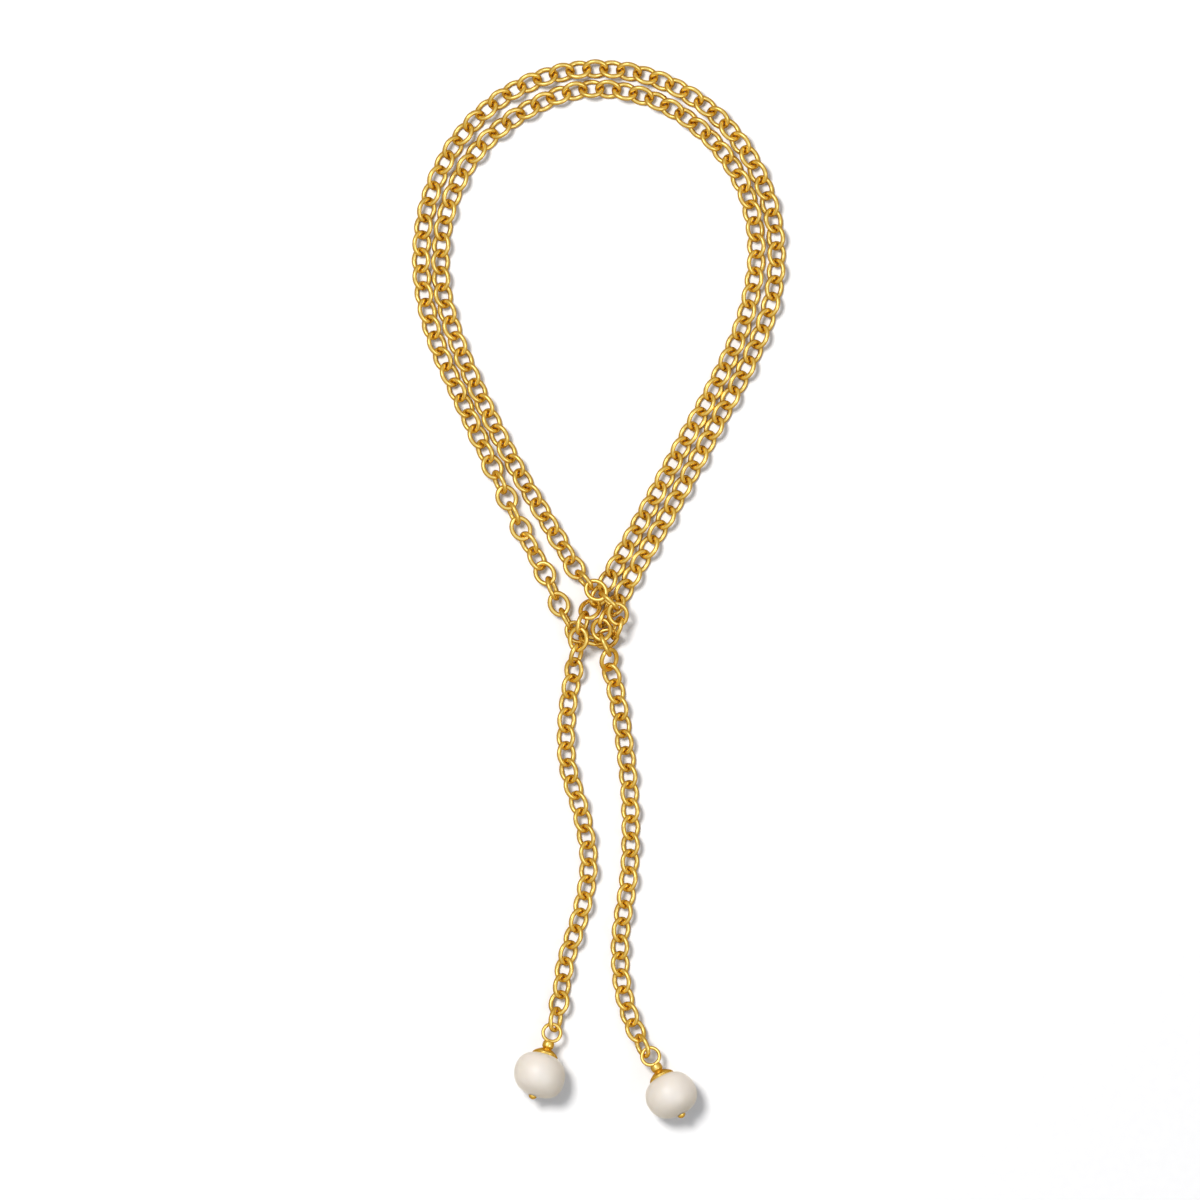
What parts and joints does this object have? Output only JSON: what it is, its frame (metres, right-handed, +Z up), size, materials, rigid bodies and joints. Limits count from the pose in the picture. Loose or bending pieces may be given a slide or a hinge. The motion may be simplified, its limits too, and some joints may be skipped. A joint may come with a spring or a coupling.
{
  "type": "lariat necklace",
  "caption": "Long link chain doubled into a loop and drawn through its own fold, with a capped pearl drop on each free end.",
  "frame": {"origin": "middle of the bounding box on the surface that the necklace lies on", "axes": "+Y from the drops along the doubled chain to the far end of the neck loop, +Z up from the surface, +X to the right seen from above"},
  "size_m": [0.0934, 0.2644, 0.013],
  "materials": {
    "gold": "polished gold tone",
    "pearl": "lustrous cream"
  },
  "bodies": {
    "root": {"chain": "gold", "eye_pin_left": "gold", "bead_cap_left": "gold", "pearl_left": "pearl", "eye_pin_right": "gold", "bead_cap_right": "gold", "pearl_right": "pearl"}
  },
  "joints": []
}
